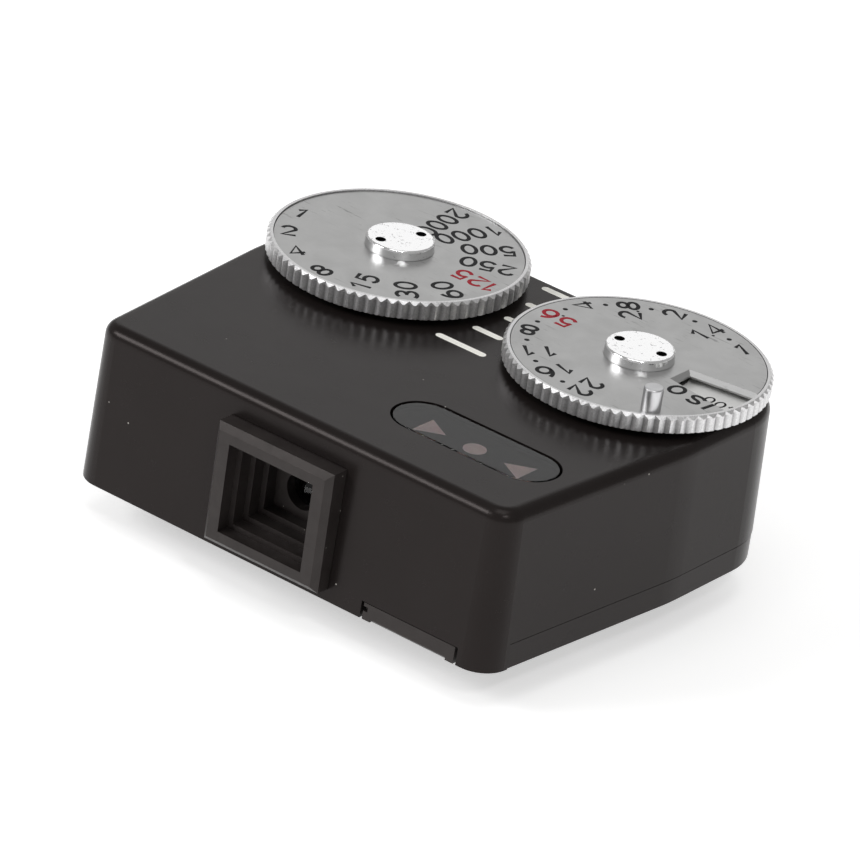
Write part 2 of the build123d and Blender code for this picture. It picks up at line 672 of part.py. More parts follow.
CHIP = (-14.0, -8.0)
with BuildPart() as controller_chip:
    with BuildSketch(level(BOARD_TOP_Z + 0.1)):
        with Locations(CHIP):
            Rectangle(7, 7)
    extrude(amount=1.2)
    chamfer(controller_chip.faces().sort_by(Axis.Z)[-1].edges(), 0.2)
    for i in range(8):
        shift = -2.8 + 0.8 * i
        x = CHIP[0] + shift
        y = CHIP[1] + shift
        block((x - 0.15, x + 0.15), (CHIP[1] - 4.4, CHIP[1] + 4.4), (BOARD_TOP_Z, BOARD_TOP_Z + 0.15))
        block((CHIP[0] - 4.4, CHIP[0] + 4.4), (y - 0.15, y + 0.15), (BOARD_TOP_Z, BOARD_TOP_Z + 0.15))
finish(controller_chip, "controller_chip")

SMALL_PARTS = [(-3.5, 1.0), (-3.5, 3.2), (0.2, 1.0), (0.2, 3.2), (3.8, 1.0), (3.8, 3.2), (-1.6, 5.6), (2.0, 5.6)]
with BuildPart() as board_parts:
    with BuildSketch(level(BOARD_TOP_Z)):
        with Locations(*SMALL_PARTS):
            Rectangle(2.0, 1.25)
    extrude(amount=0.6)
finish(board_parts, "board_parts")

with BuildPart() as timing_crystal:
    with BuildSketch(level(BOARD_TOP_Z)):
        with Locations((-13.0, -1.2)):
            RectangleRounded(5.0, 2.6, 1.0)
    extrude(amount=1.6)
    fillet(timing_crystal.faces().sort_by(Axis.Z)[-1].edges(), 0.3)
finish(timing_crystal, "timing_crystal")

with BuildPart() as resistor_tracks:
    for at in DIALS.values():
        with BuildSketch(level(BOARD_TOP_Z)):
            with Locations(at):
                Circle(TRACK_R + TRACK_W / 2)
                Circle(TRACK_R - TRACK_W / 2, mode=Mode.SUBTRACT)
            with Locations((at[0], at[1] + TRACK_R)):
                Rectangle(1.2, 2 * TRACK_W, mode=Mode.SUBTRACT)
        extrude(amount=TRACK_T)
finish(resistor_tracks, "resistor_tracks")

# --- Button cells ---------------------------------------------------------

with BuildPart() as button_cells:
    for x in (CELL_X - CELL_L, CELL_X):
        crosspiece(CELL_Y, CELL_Z, CELL_R, (x + 0.35, x + CELL_L))
        crosspiece(CELL_Y, CELL_Z, CELL_R - 0.9, (x, x + 0.36))
finish(button_cells, "button_cells")

with BuildPart() as battery_box:
    outer_x = (BOX_IN[0] - BOX_WALL, BOX_IN[1] + BOX_WALL)
    block(outer_x, (STRIP_Y + 0.2, BOX_REAR_Y + BOX_WALL), (FLOOR_T, BOX_ROOF_Z + BOX_ROOF))
    block(BOX_IN, (FRONT_Y, BOX_REAR_Y), (-1, BOX_ROOF_Z), Mode.SUBTRACT)
    # Room for the door's hinge, and slots for the contacts' tails
    block(
        (CELL_X - door_half - 1.2, CELL_X + door_half + 1.2),
        (DOOR_PIN_Y - 1.4, 0),
        (-1, DOOR_PIN_Z + DOOR_KNUCKLE_R + 0.15),
        Mode.SUBTRACT,
    )
    for x in (BOX_IN[0], BOX_IN[1] - CONTACT_T):
        block((x, x + CONTACT_T + FIT), (BOX_REAR_Y - 1, 0), (BOARD_TOP_Z, BOARD_TOP_Z + 2), Mode.SUBTRACT)
finish(battery_box, "battery_box")

CONTACTS = {
    "contact_plus": (BOX_IN[0], BOX_IN[0] + CONTACT_T, 1),
    "contact_minus": (BOX_IN[1] - CONTACT_T, BOX_IN[1], -1),
}
TAIL_Z = (BOARD_TOP_Z, BOARD_TOP_Z + 1.9)
TAIL_TURN_Y = BOX_REAR_Y + BOX_WALL + 0.1
TAIL_SHIFT = 4.2
for label, (low, high, side) in CONTACTS.items():
    with BuildPart() as contact:
        block((low, high), (CELL_Y - 3, BOX_REAR_Y - 0.1), (CELL_Z - 3, CELL_Z + 4))
        # Tail out through the box, across behind it, and back to the board
        block((low, high), (CELL_Y, TAIL_TURN_Y + CONTACT_T), TAIL_Z)
        shift = TAIL_SHIFT if side < 0 else 0
        block((low - shift, high), (TAIL_TURN_Y, TAIL_TURN_Y + CONTACT_T), TAIL_Z)
        block((low - shift, high - shift), (TAIL_TURN_Y, BOARD_FRONT_Y + 2), TAIL_Z)
        foot = sorted((low - shift + side * 0.8, high - shift))
        block(foot, (BOARD_FRONT_Y + 0.3, BOARD_FRONT_Y + 2), (BOARD_TOP_Z, BOARD_TOP_Z + 0.3))
        # Sprung dimple that meets the cell
        face = high if side > 0 else low
        reach = BOX_END - CONTACT_T
        crosspiece(CELL_Y, CELL_Z, 1.6, tuple(sorted((face - side * 0.01, face + side * reach))))
    finish(contact, label)

with BuildPart() as battery_door:
    half = DOOR_W / 2
    span = (CELL_X - half, CELL_X + half)
    block(span, (FRONT_Y, DOOR_PIN_Y), (0, DOOR_T))
    block(span, (FRONT_Y, FRONT_Y + DOOR_LIP_D), (0, DOOR_LIP_Z))
    # Front face leans back with the body's wall
    with BuildSketch(Plane(origin=(0, 0, FOOT_H), x_dir=(0, 1, 0), z_dir=(1, 0, 0))):
        with BuildLine():
            Polyline(
                (FRONT_Y - 1, -1),
                (FRONT_Y, 0),
                (FRONT_Y + DOOR_LIP_Z * LEAN, DOOR_LIP_Z),
                (FRONT_Y + DOOR_LIP_Z * LEAN, DOOR_LIP_Z + 1),
                (FRONT_Y - 1, DOOR_LIP_Z + 1),
                close=True,
            )
        make_face()
    extrude(amount=2 * BODY_W, mode=Mode.SUBTRACT)
    # Bevel under the fingertip
    with BuildSketch(Plane(origin=(CELL_X - DOOR_GRIP_W / 2, 0, FOOT_H), x_dir=(0, 1, 0), z_dir=(1, 0, 0))):
        with Locations((FRONT_Y, 0)):
            Rectangle(DOOR_GRIP, DOOR_GRIP, rotation=45)
    extrude(amount=DOOR_GRIP_W, mode=Mode.SUBTRACT)
    # Thumbnail notch beside the left slit
    block((span[0] - 1, span[0] + 0.5), (FRONT_Y - 1, FRONT_Y + 0.5), (0.85, 1.35), Mode.SUBTRACT)
    crosspiece(DOOR_PIN_Y, DOOR_PIN_Z, DOOR_KNUCKLE_R, (span[0] + 0.5, span[1] - 0.5))
    block((span[0] - 1, span[0] + 0.5), (DOOR_PIN_Y - 1, 0), (-1, SEAM_Z), Mode.SUBTRACT)
    block((span[1] - 0.5, span[1] + 1), (DOOR_PIN_Y - 1, 0), (-1, SEAM_Z), Mode.SUBTRACT)
    crosspiece(DOOR_PIN_Y, DOOR_PIN_Z, DOOR_PIN_R + RUN, (span[0] - 1, span[1] + 1), Mode.SUBTRACT)
finish(battery_door, "battery_door")

with BuildPart() as door_hinge_pin:
    crosspiece(DOOR_PIN_Y, DOOR_PIN_Z, DOOR_PIN_R, (CELL_X - door_half - 0.9, CELL_X + door_half + 0.9))
finish(door_hinge_pin, "door_hinge_pin")

# --- Measuring button -----------------------------------------------------

with BuildPart() as measure_button:
    front = BUTTON_FLANGE_Y - BUTTON_FLANGE_T
    rod(0, BUTTON_Z, BUTTON_R, (front, WALL_AT_BUTTON_Y + BUTTON_OUT))
    fillet(measure_button.faces().sort_by(Axis.Y)[-1].edges(), 0.35)
    rod(0, BUTTON_Z, BUTTON_FLANGE_R, (front, BUTTON_FLANGE_Y))
    rod(0, BUTTON_Z, BUTTON_STEM_R, (SWITCH_FACE_Y + SWITCH_TIP + BUTTON_TRAVEL + 0.1, front + 0.01))
finish(measure_button, "measure_button")

with BuildPart() as button_switch:
    block(
        (-SWITCH_W / 2, SWITCH_W / 2),
        (SWITCH_FACE_Y - SWITCH_D, SWITCH_FACE_Y),
        (BOARD_TOP_Z, BOARD_TOP_Z + SWITCH_H),
    )
    rod(0, BUTTON_Z, 0.9, (SWITCH_FACE_Y - 0.1, SWITCH_FACE_Y + SWITCH_TIP))
finish(button_switch, "button_switch")

with BuildPart() as button_spring:
    room = BUTTON_FLANGE_Y - BUTTON_FLANGE_T - SWITCH_FACE_Y - 2 * SPRING_WIRE_R - 0.06
    start = (0, SWITCH_FACE_Y + SPRING_WIRE_R + 0.03, FOOT_H + BUTTON_Z)
    with BuildLine():
        coil = Helix(room / SPRING_TURNS, room, SPRING_R, center=start, direction=(0, 1, 0))
    with BuildSketch(Plane(origin=coil @ 0, z_dir=coil % 0)):
        Circle(SPRING_WIRE_R)
    sweep(path=coil, is_frenet=True)
finish(button_spring, "button_spring")

# --- Dials ----------------------------------------------------------------

for name, at in DIALS.items():
    inward = 1 if name == "shutter" else -1
    rim_z = FACE_Z + RIM_UP[name]

    with BuildPart() as knob:
        with BuildSketch(level(KNOB_Z, at)):
            add(knurl_plan(KNOB_R, KNURL_PHASE[name]))
        extrude(amount=rim_z - KNOB_Z)
        # Chamfers at both ends of the knurl
        with BuildSketch(Plane(origin=(at[0], at[1], FOOT_H), x_dir=(1, 0, 0), z_dir=(0, -1, 0))):
            with BuildLine():
                Polyline(
                    (0, KNOB_Z),
                    (KNOB_R - KNOB_CHAMFER / 2, KNOB_Z),
                    (KNOB_R + 0.01, KNOB_Z + KNOB_CHAMFER / 2 + 0.01),
                    (KNOB_R + 0.01, rim_z - KNOB_CHAMFER - 0.01),
                    (KNOB_R - KNOB_CHAMFER, rim_z),
                    (0, rim_z),
                    close=True,
                )
            make_face()
        revolve(axis=Axis((at[0], at[1], 0), (0, 0, 1)), mode=Mode.INTERSECT)
        drum(at, PLATE_R + PLATE_GAP, (KNOB_FLOOR_Z, rim_z + 1), Mode.SUBTRACT)
        drum(at, TENON_R + FIT, (KNOB_Z - 1, rim_z), Mode.SUBTRACT)
    finish(knob, f"{name}_knob")

    with BuildPart() as spindle:
        drum(at, SPINDLE_R, (SPINDLE_END_Z, KNOB_Z))
        drum(at, TENON_R, (KNOB_Z - 0.01, TENON_TOP_Z))
        drum(at, FACE_SCREW_SHANK_R + FIT, (TENON_TOP_Z - FACE_SCREW_SHANK_L - 0.5, TENON_TOP_Z), Mode.SUBTRACT)
        ring_z = ROOF_Z - BUSH_BELOW - 0.05 - RING_T
        with BuildSketch(level(ring_z, at)):
            Circle(SPINDLE_R + 1)
            Circle(SPINDLE_R - 0.4, mode=Mode.SUBTRACT)
        extrude(amount=RING_T, mode=Mode.SUBTRACT)
    finish(spindle, f"{name}_spindle")

    with BuildPart() as retaining_ring:
        with BuildSketch(level(ring_z + 0.02, at)):
            Circle(SPINDLE_R + 1.2)
            Circle(SPINDLE_R - 0.4 + FIT, mode=Mode.SUBTRACT)
            with Locations((0, -SPINDLE_R)):
                Rectangle(2 * SPINDLE_R - 1.2, 2 * SPINDLE_R, mode=Mode.SUBTRACT)
        extrude(amount=RING_T - 0.04)
    finish(retaining_ring, f"{name}_retaining_ring")

    with BuildPart() as bushing:
        drum(at, BUSH_R, (ROOF_Z - BUSH_BELOW, BODY_H))
        drum(at, BUSH_FLANGE_R, (BODY_H, KNOB_Z - 0.12))
        drum(at, SPINDLE_R + RUN, (0, FACE_Z), Mode.SUBTRACT)
    finish(bushing, f"{name}_bushing")

    with BuildPart() as nut:
        with BuildSketch(level(ROOF_Z - NUT_T, at)):
            RegularPolygon(NUT_FLATS / 2, 6, major_radius=False)
            Circle(BUSH_R + FIT, mode=Mode.SUBTRACT)
        extrude(amount=NUT_T)
    finish(nut, f"{name}_bushing_nut")

    with BuildPart() as face_screw:
        with BuildSketch(level(TENON_TOP_Z, at)):
            Circle(FACE_SCREW_R)
        extrude(amount=FACE_SCREW_T, taper=FACE_SCREW_TAPER)
        fillet(face_screw.faces().sort_by(Axis.Z)[-1].edges(), 0.22)
        drum(at, FACE_SCREW_SHANK_R, (TENON_TOP_Z - FACE_SCREW_SHANK_L, TENON_TOP_Z + 0.01))
        with Locations(level(TENON_TOP_Z + FACE_SCREW_T, at).location):
            with PolarLocations(PIN_HOLE_PITCH / 2, 2, start_angle=PIN_HOLE_ANGLE[name]):
                Cylinder(PIN_HOLE_R, 2 * PIN_HOLE_DEPTH, mode=Mode.SUBTRACT)
    finish(face_screw, f"{name}_face_screw")

    with BuildPart() as click_wheel:
        with BuildSketch(level(WHEEL_Z, at)):
            Circle(WHEEL_R)
            with PolarLocations(WHEEL_R, CLICKS, start_angle=-90):
                Circle(NOTCH_R, mode=Mode.SUBTRACT)
            Circle(SPINDLE_R + 0.02, mode=Mode.SUBTRACT)
        extrude(amount=WHEEL_T)
        with BuildSketch(level(SPINDLE_END_Z + WIPER_T + 0.2, at)):
            Circle(SPINDLE_R + 1.0)
            Circle(SPINDLE_R + 0.02, mode=Mode.SUBTRACT)
        extrude(amount=WHEEL_Z - SPINDLE_END_Z - WIPER_T - 0.2)
    finish(click_wheel, f"{name}_click_wheel")

    with BuildPart() as click_spring:
        front_y = at[1] - WHEEL_R - 1.1
        post = (at[0] + inward * CLICK_POST_X, at[1] - CLICK_POST_Y)
        ends = sorted((at[0] - inward * 1.2, post[0] + inward * 1.3))
        block(ends, (front_y, front_y + CLICK_T), (WHEEL_Z + 0.2, WHEEL_Z + WHEEL_T + 0.1))
        block((at[0] - 0.35, at[0] + 0.35), (front_y, front_y + 0.9), (WHEEL_Z + 0.2, WHEEL_Z + WHEEL_T - 0.1))
        drum((at[0], front_y + 0.95), 0.5, (WHEEL_Z + 0.2, WHEEL_Z + WHEEL_T - 0.1))
        tab = (post[0] - 1.3, post[0] + 1.3)
        block(tab, (post[1] - 1.3, front_y + CLICK_T), (WHEEL_Z + WHEEL_T - 0.2, WHEEL_Z + WHEEL_T + 0.1))
        drum(post, 0.6 + FIT, (WHEEL_Z, WHEEL_Z + WHEEL_T + 1), Mode.SUBTRACT)
    finish(click_spring, f"{name}_click_spring")

    with BuildPart() as wiper:
        wiper_z = SPINDLE_END_Z + 0.2
        with BuildSketch(level(wiper_z, at)):
            Circle(TRACK_R + 0.8)
            Circle(SPINDLE_R + 0.02, mode=Mode.SUBTRACT)
        extrude(amount=WIPER_T)
        tip_z = BOARD_TOP_Z + TRACK_T + 0.03
        for turn in (0, 180):
            plane = Plane(origin=(at[0], at[1], FOOT_H), x_dir=(1, 0, 0), z_dir=(0, -1, 0))
            with BuildSketch(plane.rotated((0, 0, turn)).offset(TRACK_R - 0.3)):
                with BuildLine():
                    Polyline(
                        (-0.2, wiper_z + WIPER_T),
                        (-0.2, wiper_z),
                        (2.2, tip_z),
                        (2.8, tip_z),
                        (2.8, tip_z + 0.15),
                        (2.3, tip_z + 0.15),
                        (0.4, wiper_z + WIPER_T),
                        close=True,
                    )
                make_face()
            extrude(amount=0.6)
    finish(wiper, f"{name}_wiper")

with BuildPart() as click_screws:
    for side, (x, y) in zip((1, -1), DIALS.values()):
        post = (x + side * CLICK_POST_X, y - CLICK_POST_Y)
        drum(post, 0.9, (WHEEL_Z + WHEEL_T - 0.8, WHEEL_Z + WHEEL_T - 0.2))
        drum(post, 0.6, (WHEEL_Z + WHEEL_T - 0.21, ROOF_Z - 0.6))
finish(click_screws, "click_screws")

# --- Scale plates ---------------------------------------------------------

with BuildPart() as shutter_plate:
    at = DIALS["shutter"]
    drum(at, PLATE_R, (FACE_Z - PLATE_T, FACE_Z))
    drum(at, PLATE_HUB_R, (KNOB_FLOOR_Z, FACE_Z))
    drum(at, TENON_R + FIT, (0, FACE_Z + 1), Mode.SUBTRACT)
finish(shutter_plate, "shutter_scale_plate")

PEG = (
    DIALS["aperture"][0] + PEG_AT * cos(radians(PEG_ANGLE)),
    DIALS["aperture"][1] + PEG_AT * sin(radians(PEG_ANGLE)),
)
WASHER_ROOM = 0.45
with BuildPart() as aperture_plate:
    at = DIALS["aperture"]
    drum(at, PLATE_R, (FACE_Z - PLATE_T, FACE_Z))
    drum(at, PLATE_HUB_R, (KNOB_FLOOR_Z + WASHER_ROOM, FACE_Z))
    drum(at, TENON_R + RUN, (0, FACE_Z + 1), Mode.SUBTRACT)
    # Film-speed window, open to the rim
    with BuildSketch(level(KNOB_FLOOR_Z, at)):
        with BuildLine():
            end_x = PLATE_R + 1
            end_y = WINDOW_HALF + (end_x - WINDOW_IN) * tan(radians(WINDOW_FLARE))
            Polyline(
                (WINDOW_IN, -WINDOW_HALF),
                (end_x, -end_y),
                (end_x, end_y),
                (WINDOW_IN, WINDOW_HALF),
                close=True,
            )
        make_face()
    extrude(amount=SCALE_DEPTH + 1, mode=Mode.SUBTRACT)
    window_edges = aperture_plate.faces().sort_by(Axis.Z)[-1].edges().filter_by(GeomType.LINE)
    chamfer(window_edges, WINDOW_BEVEL)
    drum(PEG, 0.6 + FIT / 2, (KNOB_FLOOR_Z, FACE_Z + 1), Mode.SUBTRACT)
finish(aperture_plate, "aperture_scale_plate")

with BuildPart() as iso_peg:
    drum(PEG, PEG_R, (FACE_Z, FACE_Z + PEG_UP))
    fillet(iso_peg.faces().sort_by(Axis.Z)[-1].edges(), 0.15)
    drum(PEG, 0.6, (FACE_Z - PLATE_T - 0.2, FACE_Z + 0.01))
finish(iso_peg, "iso_peg")

with BuildPart() as iso_washer:
    at = DIALS["aperture"]
    with BuildSketch(Plane(origin=(at[0], at[1], FOOT_H + KNOB_FLOOR_Z), x_dir=(1, 0, 0), z_dir=(0, -1, 0))):
        with BuildLine():
            inner = TENON_R + FIT
            outer = PLATE_HUB_R - 0.3
            Polyline((inner, 0.03), (outer, 0.25), (outer, 0.40), (inner, 0.18), close=True)
        make_face()
    revolve(axis=Axis((at[0], at[1], 0), (0, 0, 1)))
finish(iso_washer, "iso_friction_washer")
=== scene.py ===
"""Looks of the handheld light meter: materials, printed scales, light and camera."""

import json
from math import cos, pi, radians, sin

import bpy
from mathutils import Matrix, Vector


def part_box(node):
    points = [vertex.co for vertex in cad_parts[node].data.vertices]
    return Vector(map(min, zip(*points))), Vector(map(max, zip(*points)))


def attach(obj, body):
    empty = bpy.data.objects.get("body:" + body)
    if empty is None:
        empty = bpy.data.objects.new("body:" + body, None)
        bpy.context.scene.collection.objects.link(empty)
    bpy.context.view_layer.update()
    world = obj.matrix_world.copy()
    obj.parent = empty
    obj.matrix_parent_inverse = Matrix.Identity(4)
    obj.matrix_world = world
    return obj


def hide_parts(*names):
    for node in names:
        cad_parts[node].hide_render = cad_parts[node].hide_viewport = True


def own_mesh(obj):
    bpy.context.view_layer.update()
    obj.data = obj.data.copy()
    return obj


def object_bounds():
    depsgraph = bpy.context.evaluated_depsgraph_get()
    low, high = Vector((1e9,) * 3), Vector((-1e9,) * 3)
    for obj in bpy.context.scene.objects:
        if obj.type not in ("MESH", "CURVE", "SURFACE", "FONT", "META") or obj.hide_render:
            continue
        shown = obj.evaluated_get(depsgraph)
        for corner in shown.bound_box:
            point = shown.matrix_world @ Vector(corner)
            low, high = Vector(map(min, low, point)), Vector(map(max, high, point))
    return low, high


MM = 0.001
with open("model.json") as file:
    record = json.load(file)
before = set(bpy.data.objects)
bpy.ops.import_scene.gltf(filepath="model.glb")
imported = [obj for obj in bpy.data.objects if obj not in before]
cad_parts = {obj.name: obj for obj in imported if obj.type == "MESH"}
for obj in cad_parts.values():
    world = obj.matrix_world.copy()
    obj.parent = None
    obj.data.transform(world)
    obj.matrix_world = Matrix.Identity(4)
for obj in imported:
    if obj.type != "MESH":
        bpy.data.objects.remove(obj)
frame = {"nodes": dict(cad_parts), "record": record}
cad_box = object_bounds()
nodes = frame["nodes"]


# --- Material building ------------------------------------------------------

DUST_ON_PAINT = (0.42, 0.4, 0.37)
DUST_ON_PLASTIC = (0.30, 0.28, 0.26)
SPECK_CORE = 0.6  # share of a dust speck's radius before it fades out
SPECK_FREE = 0.86  # share of the cells that hold no speck
# colour of the painted shade in a knurl's grooves
PAINTED_GROOVE_SHADE = (0.12, 0.115, 0.12)
GROOVE_SHADE_FROM = -0.35  # millimetres from a knob's top, where the painted groove shade begins
PIT_DARK = (0.22, 0.22, 0.23)
# near-black colour of the painted shade inside the face screws' driver holes
PAINTED_HOLE_SHADE = (0.012, 0.012, 0.012)
HOLE_RIM = -0.04  # millimetres from a screw's top, where the painted shade in the holes begins


class Shader:
    """A principled material with short calls for its nodes."""

    def __init__(self, name):
        self.material = bpy.data.materials.new(name)
        self.material.use_nodes = True
        self.tree = self.material.node_tree
        self.surface = self.tree.nodes["Principled BSDF"]
        self.coordinates = self.tree.nodes.new("ShaderNodeTexCoord")

    def set(self, **values):
        for key, value in values.items():
            self.surface.inputs[key.replace("_", " ")].default_value = value

    def node(self, kind, **settings):
        made = self.tree.nodes.new("ShaderNode" + kind)
        for key, value in settings.items():
            setattr(made, key, value)
        return made

    def link(self, source, target):
        self.tree.links.new(source, target)

    def place(self, scale=(1, 1, 1), centre=(0, 0, 0), turn=0):
        """Object coordinates in millimetres from a centre in metres, turned about Z, stretched."""
        shift = self.node("VectorMath", operation="SUBTRACT")
        self.link(self.coordinates.outputs["Object"], shift.inputs[0])
        shift.inputs[1].default_value = centre
        mapping = self.node("Mapping")
        self.link(shift.outputs[0], mapping.inputs["Vector"])
        mapping.inputs["Rotation"].default_value = (0, 0, turn)
        mapping.inputs["Scale"].default_value = [s / MM for s in scale]
        return mapping.outputs[0]

    def split(self, vector):
        """The X, Y and Z outputs of a vector."""
        made = self.node("SeparateXYZ")
        self.link(vector, made.inputs[0])
        return made.outputs

    def noise(self, vector, scale, detail=3.0, rough=0.5, warp=0.0):
        made = self.node("TexNoise")
        self.link(vector, made.inputs["Vector"])
        made.inputs["Scale"].default_value = scale
        made.inputs["Detail"].default_value = detail
        made.inputs["Roughness"].default_value = rough
        made.inputs["Distortion"].default_value = warp
        return made.outputs["Fac"]

    def cells(self, scale, feature="F1", random=1.0):
        made = self.node("TexVoronoi", feature=feature)
        self.link(self.place(), made.inputs["Vector"])
        made.inputs["Scale"].default_value = scale
        made.inputs["Randomness"].default_value = random
        return made

    def ramp(self, value, low, high, a=0.0, b=1.0):
        """Maps low..high to a..b with clamping."""
        made = self.node("MapRange")
        self.link(value, made.inputs["Value"])
        for key, number in (("From Min", low), ("From Max", high), ("To Min", a), ("To Max", b)):
            made.inputs[key].default_value = number
        return made.outputs[0]

    def math(self, operation, a, b=0.0):
        made = self.node("Math", operation=operation)
        for socket, value in zip(made.inputs, (a, b)):
            if isinstance(value, (int, float)):
                socket.default_value = value
            else:
                self.link(value, socket)
        return made.outputs[0]

    def squares(self, x, y):
        """The sum of two values' squares."""
        return self.math("ADD", self.math("POWER", x, 2.0), self.math("POWER", y, 2.0))

    def mix(self, factor, a, b):
        made = self.node("Mix", data_type="RGBA")
        self.link(factor, made.inputs[0])
        for socket, value in ((made.inputs[6], a), (made.inputs[7], b)):
            if isinstance(value, tuple):
                socket.default_value = (*value, 1.0)
            else:
                self.link(value, socket)
        return made.outputs[2]

    def color(self, socket):
        self.link(socket, self.surface.inputs["Base Color"])

    def rough(self, socket):
        self.link(socket, self.surface.inputs["Roughness"])

    def bump(self, *layers):
        """Each layer is (height socket, depth in millimetres)."""
        normal = None
        for height, depth in layers:
            made = self.node("Bump")
            made.inputs["Strength"].default_value = 1.0
            made.inputs["Distance"].default_value = depth * MM
            self.link(height, made.inputs["Height"])
            if normal is not None:
                self.link(normal, made.inputs["Normal"])
            normal = made.outputs[0]
        self.link(normal, self.surface.inputs["Normal"])


def darker(colour, share):
    return tuple(c * share for c in colour)


def specks(shader, density, size):
    """Sparse dust: small dots in a few of the cells of a grid, 1 on a speck and 0 elsewhere."""
    cells = shader.cells(density)
    chosen = shader.node("SeparateColor")
    shader.link(cells.outputs["Color"], chosen.inputs[0])
    near = shader.ramp(cells.outputs["Distance"], size * SPECK_CORE, size, 1.0, 0.0)
    picked = shader.math("GREATER_THAN", chosen.outputs[0], SPECK_FREE)
    return shader.math("MULTIPLY", near, picked)


def paint(name, base, worn, rough, specular):
    """Satin black lacquer with faint unevenness, fine grain and a little dust."""
    s = Shader(name)
    s.set(Specular_IOR_Level=specular, Specular_Tint=(1.0, 0.90, 0.88, 1.0))
    broad = s.noise(s.place(), scale=0.12, detail=2.0)
    fine = s.noise(s.place(), scale=9.0, detail=4.0, rough=0.6)
    tone = s.mix(s.ramp(broad, 0.3, 0.7), base, worn)
    dust = specks(s, density=0.42, size=0.045)
    s.color(s.mix(dust, tone, DUST_ON_PAINT))
    haze = s.noise(s.place(), scale=0.35, detail=5.0, rough=0.6)
    blur = s.ramp(haze, 0.35, 0.7, rough - 0.01, rough + 0.015)
    s.rough(s.math("ADD", blur, s.math("MULTIPLY", fine, 0.04)))
    waves = s.noise(s.place(), scale=3.2, detail=2.0)
    s.bump((waves, 0.004), (fine, 0.0015), (dust, 0.02))
    return s.material


def plastic(name, base, rough, specular, grain, dust=0.0):
    """Moulded plastic with a fine spark-eroded grain and faint flow marks."""
    s = Shader(name)
    s.set(Specular_IOR_Level=specular, Specular_Tint=(1.0, 0.93, 0.91, 1.0))
    pale = tuple(min(1.0, c * 1.25 + 0.002) for c in base)
    flow = s.noise(s.place(), scale=0.5, detail=4.0)
    tone = s.mix(s.ramp(flow, 0.35, 0.7), base, pale)
    if dust:
        fluff = s.noise(s.place(), scale=5.5, detail=5.0, rough=0.7)
        fluff = s.ramp(fluff, 0.66, 0.72, 0.0, dust)
        dirt = s.math("MAXIMUM", fluff, specks(s, density=0.8, size=0.07))
        tone = s.mix(dirt, tone, DUST_ON_PLASTIC)
    s.color(tone)
    haze = s.noise(s.place(), scale=1.3, detail=4.0)
    s.rough(s.ramp(haze, 0.3, 0.7, rough - 0.06, rough + 0.06))
    pores = s.noise(s.place(), scale=14.0, detail=3.0, rough=0.6)
    waves = s.noise(s.place(), scale=1.0, detail=2.0)
    s.bump((pores, grain), (waves, 0.004))
    return s.material


def metal(name, base, dark, rough, stretch=(1, 1, 1)):
    """Bare metal with a drawn grain, fine scratches and finger marks."""
    s = Shader(name)
    s.set(Metallic=1.0)
    streaks = s.noise(s.place(stretch), scale=3.0, detail=5.0, rough=0.7)
    smudge = s.noise(s.place(), scale=0.3, detail=6.0, rough=0.62, warp=0.4)
    slanted = s.noise(s.place((0.35, 2.6, 1), turn=0.9), scale=1.1, detail=4.0, rough=0.62)
    patch = s.ramp(s.noise(s.place(), scale=0.13, detail=2.0), 0.47, 0.6)
    marks = s.math("MULTIPLY", s.ramp(slanted, 0.60, 0.67), patch)
    tone = s.mix(s.ramp(smudge, 0.35, 0.75), base, dark)
    s.color(s.mix(marks, tone, darker(base, 0.6)))
    blur = s.ramp(smudge, 0.3, 0.75, rough - 0.02, rough + 0.04)
    s.rough(s.math("ADD", blur, s.math("MULTIPLY", streaks, 0.06)))
    s.bump((streaks, 0.0012), (marks, 0.001))
    return s.material


def knurled(name, base, centre, radius):
    """Machined rim: cutter lines round the knob, a frosted surface and painted shade darkening the
    grooves below the top.

    The centre is that of the knob's top, in metres, and the radius is in millimetres.
    """
    s = Shader(name)
    s.set(Metallic=0.85)
    lines = s.noise(s.place((0.5, 0.5, 9.0)), scale=1.6, detail=4.0, rough=0.7)
    grit = s.noise(s.place(), scale=6.0, detail=4.0, rough=0.65)
    x, y, z = s.split(s.place(centre=centre))
    away = s.math("SQRT", s.squares(x, y))
    # painted shade: near the grooves' bottoms, below the top, the colour is darkened
    groove = s.ramp(away, radius - 0.30, radius - 0.08, 0.5, 0.0)
    below = s.math("LESS_THAN", z, GROOVE_SHADE_FROM)
    tone = s.mix(s.ramp(grit, 0.35, 0.68), darker(base, 0.72), base)
    s.color(s.mix(s.math("MULTIPLY", groove, below), tone, PAINTED_GROOVE_SHADE))
    s.rough(s.ramp(grit, 0.3, 0.7, 0.30, 0.46))
    s.bump((lines, 0.012), (grit, 0.008))
    return s.material


def polished(name, base, pits, holes=()):
    """Bright plated metal with hairline scratches, small dark pits and painted shade in its driver
    holes.

    Each hole is (x, y, z of the top, radius), in metres.
    """
    s = Shader(name)
    s.set(Metallic=1.0)
    dots = s.ramp(s.noise(s.place(), scale=2.6, detail=5.0, rough=0.75), 0.60, 0.65)
    hair = s.noise(s.place((0.6, 9.0, 1), turn=0.6), scale=2.0, detail=3.0)
    tone = s.mix(s.math("MULTIPLY", dots, pits), base, PIT_DARK)
    blur = s.math("ADD", s.ramp(hair, 0.3, 0.7, 0.06, 0.11), s.math("MULTIPLY", dots, 0.2))
    for *mouth, radius in holes:
        # painted shade: inside each driver hole the colour is darkened and the surface made rougher
        x, y, z = s.split(s.place(centre=mouth))
        near = s.math("LESS_THAN", s.squares(x, y), (radius / MM) ** 2)
        inside = s.math("MULTIPLY", near, s.math("LESS_THAN", z, HOLE_RIM))
        tone = s.mix(inside, tone, PAINTED_HOLE_SHADE)
        blur = s.math("ADD", blur, s.math("MULTIPLY", inside, 0.5))
    s.color(tone)
    s.rough(blur)
    s.bump((hair, 0.0006), (s.math("SUBTRACT", 1.0, dots), 0.003))
    return s.material


